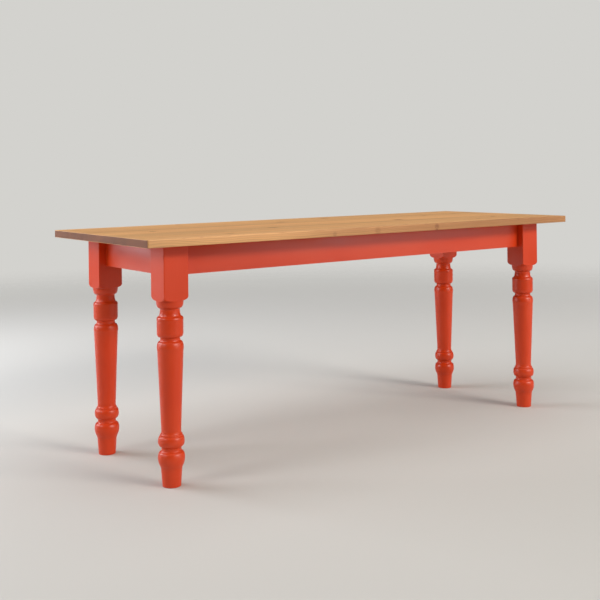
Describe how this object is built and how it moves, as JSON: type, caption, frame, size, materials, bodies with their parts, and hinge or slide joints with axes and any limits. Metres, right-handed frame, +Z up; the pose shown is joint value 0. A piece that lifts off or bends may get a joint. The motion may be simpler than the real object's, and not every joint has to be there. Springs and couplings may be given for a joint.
{
  "type": "farmhouse dining table",
  "caption": "Long plank-topped dining table on a painted base of turned legs and plain aprons, with bolted corner braces and cross rails under the top.",
  "frame": {"origin": "on the floor under the middle of the top", "axes": "+X along the top's length to the right, +Y to the back, +Z up"},
  "size_m": [1.9, 0.7, 0.78],
  "materials": {
    "top_boards": "oiled honey-coloured pine with fine grain, a low sheen and small knots",
    "painted_base": "satin orange-red paint on wood, with faint brush marks",
    "bare_wood": "bare sawn pine",
    "zinc_steel": "zinc-plated steel, dull"
  },
  "bodies": {
    "root": {"board_1": "top_boards", "board_2": "top_boards", "board_3": "top_boards", "board_4": "top_boards", "board_5": "top_boards", "leg_front_left": "painted_base", "leg_front_right": "painted_base", "leg_back_left": "painted_base", "leg_back_right": "painted_base", "apron_front": "painted_base", "apron_back": "painted_base", "apron_left": "painted_base", "apron_right": "painted_base", "brace_front_left": "bare_wood", "brace_front_right": "bare_wood", "brace_back_left": "bare_wood", "brace_back_right": "bare_wood", "hanger_bolt_front_left": "zinc_steel", "hanger_bolt_front_right": "zinc_steel", "hanger_bolt_back_left": "zinc_steel", "hanger_bolt_back_right": "zinc_steel", "washer_front_left": "zinc_steel", "washer_front_right": "zinc_steel", "washer_back_left": "zinc_steel", "washer_back_right": "zinc_steel", "nut_front_left": "zinc_steel", "nut_front_right": "zinc_steel", "nut_back_left": "zinc_steel", "nut_back_right": "zinc_steel", "brace_screws_front_left": "zinc_steel", "brace_screws_front_right": "zinc_steel", "brace_screws_back_left": "zinc_steel", "brace_screws_back_right": "zinc_steel", "rail_left": "bare_wood", "rail_right": "bare_wood", "rail_screws_left": "zinc_steel", "rail_screws_right": "zinc_steel", "button_front_1": "bare_wood", "button_front_2": "bare_wood", "button_front_3": "bare_wood", "button_back_1": "bare_wood", "button_back_2": "bare_wood", "button_back_3": "bare_wood", "button_left": "bare_wood", "button_right": "bare_wood", "button_screw_front_1": "zinc_steel", "button_screw_front_2": "zinc_steel", "button_screw_front_3": "zinc_steel", "button_screw_back_1": "zinc_steel", "button_screw_back_2": "zinc_steel", "button_screw_back_3": "zinc_steel", "button_screw_left": "zinc_steel", "button_screw_right": "zinc_steel"}
  },
  "joints": []
}
